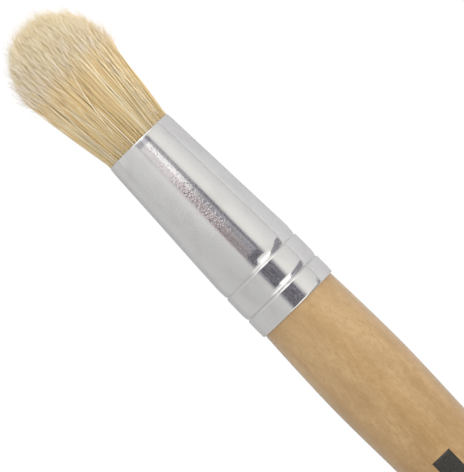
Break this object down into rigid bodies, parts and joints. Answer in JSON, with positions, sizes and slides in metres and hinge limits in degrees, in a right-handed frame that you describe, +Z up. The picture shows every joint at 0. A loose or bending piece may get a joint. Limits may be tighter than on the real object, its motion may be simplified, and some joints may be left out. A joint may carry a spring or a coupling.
{
  "type": "round bristle brush",
  "caption": "Round hog-bristle hobby brush with a domed head, a crimped aluminium ferrule and a tapering varnished wooden handle; the bristles bend and splay.",
  "frame": {"origin": "on the surface that the brush lies on, under the middle of its length", "axes": "+X along the brush from the handle's tail to the bristle tips, +Z up out of the surface"},
  "size_m": [0.2084, 0.0162, 0.0162],
  "materials": {
    "handle_wood": "clear satin varnish over fine-flecked birch or beech",
    "ferrule_metal": "bright drawn tube with fine lengthwise scratches",
    "hog_bristle": "natural white hog bristle, blonde with ochre strands and paler split tips",
    "cured_resin": "cured amber epoxy",
    "waxed_thread": "off-white waxed cotton"
  },
  "bodies": {
    "handle_and_ferrule": {"handle": "handle_wood", "ferrule": "ferrule_metal", "resin_plug": "cured_resin", "binding_thread": "waxed_thread", "bristle_roots": "hog_bristle"},
    "bristle_shank": {"shank_core": "hog_bristle", "shank_tuft_1": "hog_bristle", "shank_tuft_2": "hog_bristle", "shank_tuft_3": "hog_bristle", "shank_tuft_4": "hog_bristle", "shank_tuft_5": "hog_bristle", "shank_tuft_6": "hog_bristle", "shank_tuft_7": "hog_bristle", "shank_tuft_8": "hog_bristle"},
    "bristle_head": {"head_core": "hog_bristle"},
    "tuft_1": {"tip_tuft_1": "hog_bristle"},
    "tuft_2": {"tip_tuft_2": "hog_bristle"},
    "tuft_3": {"tip_tuft_3": "hog_bristle"},
    "tuft_4": {"tip_tuft_4": "hog_bristle"},
    "tuft_5": {"tip_tuft_5": "hog_bristle"},
    "tuft_6": {"tip_tuft_6": "hog_bristle"},
    "tuft_7": {"tip_tuft_7": "hog_bristle"},
    "tuft_8": {"tip_tuft_8": "hog_bristle"}
  },
  "joints": [
    {"name": "bend_side", "type": "hinge", "parent": "handle_and_ferrule", "child": "bristle_shank", "pos_m": [0.08185, 0, 0.0081], "axis": [0, 0, 1], "range_deg": [-20, 20], "stiffness_Nm_per_rad": 0.06},
    {"name": "bend_up", "type": "hinge", "parent": "bristle_shank", "child": "bristle_head", "pos_m": [0.08735, 0, 0.0081], "axis": [0, -1, 0], "range_deg": [-20, 20], "stiffness_Nm_per_rad": 0.05},
    {"name": "splay_1", "type": "hinge", "parent": "bristle_head", "child": "tuft_1", "pos_m": [0.09135, 0, 0.00535], "axis": [0, 1, 0], "range_deg": [0, 15], "stiffness_Nm_per_rad": 0.01},
    {"name": "splay_2", "type": "hinge", "parent": "bristle_head", "child": "tuft_2", "pos_m": [0.09135, 0.00194, 0.00616], "axis": [0, 0.7071, 0.7071], "range_deg": [0, 15], "stiffness_Nm_per_rad": 0.01},
    {"name": "splay_3", "type": "hinge", "parent": "bristle_head", "child": "tuft_3", "pos_m": [0.09135, 0.00275, 0.0081], "axis": [0, 0, 1], "range_deg": [0, 15], "stiffness_Nm_per_rad": 0.01},
    {"name": "splay_4", "type": "hinge", "parent": "bristle_head", "child": "tuft_4", "pos_m": [0.09135, 0.00194, 0.01004], "axis": [0, -0.7071, 0.7071], "range_deg": [0, 15], "stiffness_Nm_per_rad": 0.01},
    {"name": "splay_5", "type": "hinge", "parent": "bristle_head", "child": "tuft_5", "pos_m": [0.09135, 0, 0.01085], "axis": [0, -1, 0], "range_deg": [0, 15], "stiffness_Nm_per_rad": 0.01},
    {"name": "splay_6", "type": "hinge", "parent": "bristle_head", "child": "tuft_6", "pos_m": [0.09135, -0.00194, 0.01004], "axis": [0, -0.7071, -0.7071], "range_deg": [0, 15], "stiffness_Nm_per_rad": 0.01},
    {"name": "splay_7", "type": "hinge", "parent": "bristle_head", "child": "tuft_7", "pos_m": [0.09135, -0.00275, 0.0081], "axis": [0, 0, -1], "range_deg": [0, 15], "stiffness_Nm_per_rad": 0.01},
    {"name": "splay_8", "type": "hinge", "parent": "bristle_head", "child": "tuft_8", "pos_m": [0.09135, -0.00194, 0.00616], "axis": [0, 0.7071, -0.7071], "range_deg": [0, 15], "stiffness_Nm_per_rad": 0.01}
  ],
  "couplings": [
    {"joint": "splay_2", "follows": "splay_1", "ratio": 1},
    {"joint": "splay_3", "follows": "splay_1", "ratio": 1},
    {"joint": "splay_4", "follows": "splay_1", "ratio": 1},
    {"joint": "splay_5", "follows": "splay_1", "ratio": 1},
    {"joint": "splay_6", "follows": "splay_1", "ratio": 1},
    {"joint": "splay_7", "follows": "splay_1", "ratio": 1},
    {"joint": "splay_8", "follows": "splay_1", "ratio": 1}
  ]
}
